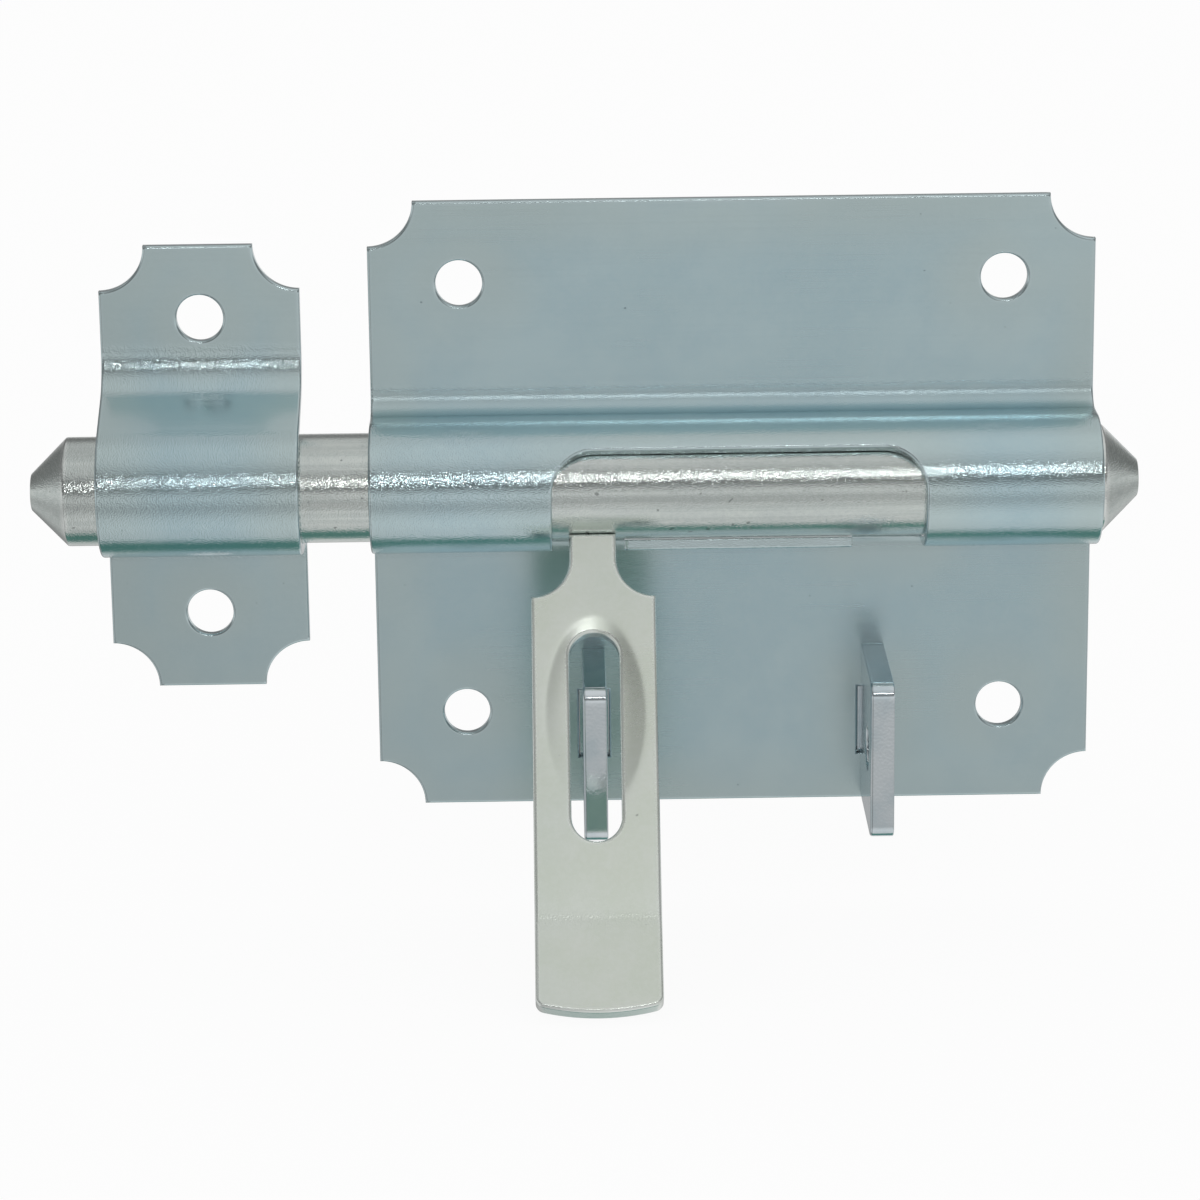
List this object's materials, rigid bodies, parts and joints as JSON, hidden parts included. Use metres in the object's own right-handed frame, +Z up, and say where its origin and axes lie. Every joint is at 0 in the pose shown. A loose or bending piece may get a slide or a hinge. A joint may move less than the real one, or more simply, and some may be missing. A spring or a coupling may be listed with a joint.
{
  "type": "padbolt",
  "caption": "Round bolt sliding in a tunnel pressed across its plate, with a keeper and a slotted hasp handle that drops over padlock staples.",
  "frame": {"origin": "middle of the plate's four screw holes, on the plate's back face", "axes": "+X along the bolt away from its keeper, +Z up, and -Y out of the door towards the user"},
  "size_m": [0.2128, 0.0702, 0.1419],
  "materials": {
    "plate_zinc": "blue zinc plated sheet steel",
    "staple_zinc": "blue zinc plated steel",
    "rod_zinc": "zinc plated round bar",
    "handle_zinc": "pale zinc plated flat bar"
  },
  "bodies": {
    "plate": {"base_plate": "plate_zinc", "lock_staple": "staple_zinc", "park_staple": "staple_zinc", "keeper": "plate_zinc"},
    "bolt": {"bolt_rod": "rod_zinc"},
    "handle": {"handle": "handle_zinc"}
  },
  "joints": [
    {"name": "bolt_slide", "type": "slide", "parent": "plate", "child": "bolt", "axis": [1, 0, 0], "range_m": [0, 0.055]},
    {"name": "handle_turn", "type": "hinge", "parent": "bolt", "child": "handle", "pos_m": [-0.0275, -0.0108, 0.0051], "axis": [-1, 0, 0], "range_deg": [-34, 82]}
  ]
}
